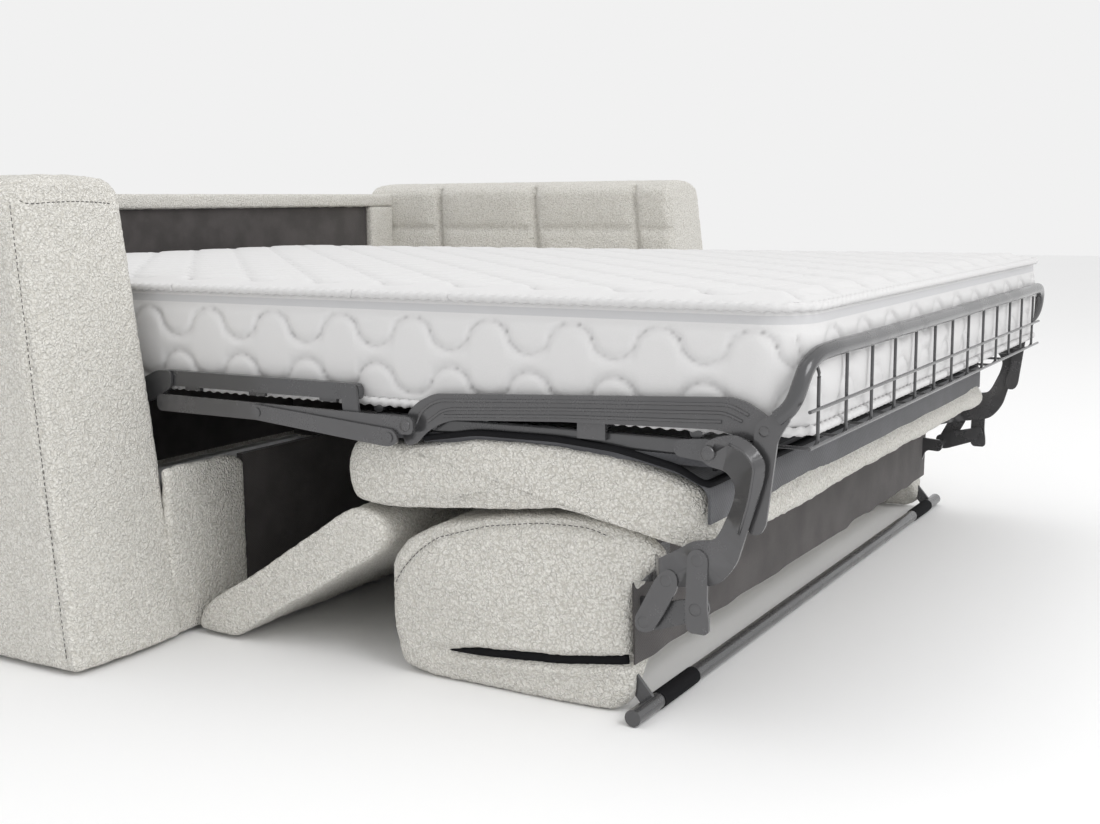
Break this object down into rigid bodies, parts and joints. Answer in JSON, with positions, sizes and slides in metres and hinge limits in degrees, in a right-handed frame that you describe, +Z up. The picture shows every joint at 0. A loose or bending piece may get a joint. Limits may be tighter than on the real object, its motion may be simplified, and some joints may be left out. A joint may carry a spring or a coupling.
{
  "type": "sleeper sofa",
  "caption": "Boucle sleeper sofa with its bed pulled out: folding steel frame, three-part quilted mattress, support leg, foot rail and swing-under seat back.",
  "frame": {"origin": "bottom centre of the bounding box, on the floor", "axes": "+X along the sofa's width towards the far arm, +Y from the bed's foot towards the sofa back, +Z up"},
  "size_m": [2.38, 2.097, 0.68],
  "materials": {
    "boucle": "soft nubby boucle upholstery, warm off-white",
    "dark_lining": "matt charcoal lining cloth",
    "grey_felt": "grey pressed felt",
    "mattress_white": "cool white quilted knit cloth",
    "grey_frame": "mid grey satin powder coat",
    "link_steel": "mid grey satin paint on pressed steel",
    "black_net": "woven black support net",
    "black_rubber": "matt black rubber",
    "black_plastic": "matt black plastic"
  },
  "bodies": {
    "sofa": {"near_arm": "boucle", "far_arm": "boucle", "back_shell": "boucle", "back_lining": "dark_lining", "back_end_post": "boucle", "base_end_block": "boucle", "base_front_panel": "dark_lining", "end_seat_box": "boucle", "end_seat_pad": "boucle", "floor_glides": "black_plastic", "mount_rails": "link_steel"},
    "lift_front": {"lift_front_links": "link_steel"},
    "lift_rear": {"lift_rear_links": "link_steel"},
    "head_section": {"head_frame": "grey_frame", "head_cross_tubes": "grey_frame", "head_mesh": "black_net", "head_mattress": "mattress_white", "mattress_fold_rear": "mattress_white"},
    "mid_section": {"mid_rails": "grey_frame", "mid_straps": "grey_frame", "mid_mesh": "black_net", "mid_mattress": "mattress_white"},
    "foot_section": {"foot_side_tubes": "grey_frame", "foot_cross_tubes": "grey_frame", "near_pressed_arm": "link_steel", "far_pressed_arm": "link_steel", "foot_mesh": "black_net", "foot_mattress": "mattress_white", "mattress_fold_front": "mattress_white", "seat_board": "grey_felt", "seat_edging": "black_plastic", "seat_cushion": "boucle", "valance_brackets": "link_steel"},
    "drive": {"drive_bars": "link_steel", "drive_stays": "link_steel"},
    "swing_back": {"near_swing_arm": "link_steel", "far_swing_arm": "link_steel", "back_board": "dark_lining", "back_cushion": "boucle"},
    "front_valance": {"valance": "boucle", "valance_ears": "link_steel"},
    "rocker": {"leg_rockers": "link_steel"},
    "stay": {"leg_stays": "link_steel"},
    "leg": {"leg_bars": "grey_frame", "leg_tube": "grey_frame", "leg_sleeves": "black_rubber"},
    "grille": {"grille_tube": "grey_frame", "grille_wires": "grey_frame", "grille_hangers": "link_steel"}
  },
  "joints": [
    {"name": "lift_front_swing", "type": "hinge", "parent": "sofa", "child": "lift_front", "pos_m": [-0.248, 0.1295, 0.206], "axis": [-1, 0, 0], "range_deg": [0, 85]},
    {"name": "head_level", "type": "hinge", "parent": "lift_front", "child": "head_section", "pos_m": [-0.248, 0.2886, 0.3651], "axis": [-1, 0, 0], "range_deg": [-85, 0]},
    {"name": "lift_rear_swing", "type": "hinge", "parent": "sofa", "child": "lift_rear", "pos_m": [-0.248, 0.5695, 0.206], "axis": [-1, 0, 0], "range_deg": [0, 85]},
    {"name": "mid_fold", "type": "hinge", "parent": "head_section", "child": "mid_section", "pos_m": [-0.248, -0.0365, 0.394], "axis": [-1, 0, 0], "range_deg": [0, 90], "deforming": ["mattress_fold_rear"]},
    {"name": "foot_fold", "type": "hinge", "parent": "mid_section", "child": "foot_section", "pos_m": [-0.248, -0.3805, 0.394], "axis": [-1, 0, 0], "range_deg": [0, 90.1], "deforming": ["mattress_fold_front"]},
    {"name": "drive_turn", "type": "hinge", "parent": "foot_section", "child": "drive", "pos_m": [-0.248, -0.4805, 0.356], "axis": [-1, 0, 0], "range_deg": [-81.1, 0]},
    {"name": "back_swing", "type": "hinge", "parent": "foot_section", "child": "swing_back", "pos_m": [-0.248, -0.9195, 0.356], "axis": [-1, 0, 0], "range_deg": [0, 80.1]},
    {"name": "valance_turn", "type": "hinge", "parent": "foot_section", "child": "front_valance", "pos_m": [-0.248, -0.3765, 0.285], "axis": [-1, 0, 0], "range_deg": [-118.1, 0]},
    {"name": "rocker_turn", "type": "hinge", "parent": "swing_back", "child": "rocker", "pos_m": [-0.248, -0.8675, 0.195], "axis": [-1, 0, 0], "range_deg": [0, 50.1]},
    {"name": "stay_turn", "type": "hinge", "parent": "swing_back", "child": "stay", "pos_m": [-0.248, -0.9085, 0.225], "axis": [-1, 0, 0], "range_deg": [0, 44.6]},
    {"name": "leg_turn", "type": "hinge", "parent": "rocker", "child": "leg", "pos_m": [-0.248, -0.8375, 0.139], "axis": [-1, 0, 0], "range_deg": [-33.1, 0]},
    {"name": "grille_turn", "type": "hinge", "parent": "foot_section", "child": "grille", "pos_m": [-0.248, -0.9845, 0.385], "axis": [-1, 0, 0], "range_deg": [-15.1, 0]}
  ],
  "couplings": [
    {"joint": "lift_front_swing", "follows": "mid_fold", "ratio": 0.9444},
    {"joint": "head_level", "follows": "mid_fold", "ratio": -0.9444},
    {"joint": "lift_rear_swing", "follows": "mid_fold", "ratio": 0.9444},
    {"joint": "foot_fold", "follows": "mid_fold", "ratio": 1},
    {"joint": "drive_turn", "follows": "mid_fold", "ratio": -0.9},
    {"joint": "back_swing", "follows": "mid_fold", "ratio": 0.8889},
    {"joint": "valance_turn", "follows": "mid_fold", "ratio": -1.3111},
    {"joint": "rocker_turn", "follows": "mid_fold", "ratio": 0.5556},
    {"joint": "stay_turn", "follows": "mid_fold", "ratio": 0.4944},
    {"joint": "leg_turn", "follows": "mid_fold", "ratio": -0.3667},
    {"joint": "grille_turn", "follows": "mid_fold", "ratio": -0.1667}
  ]
}
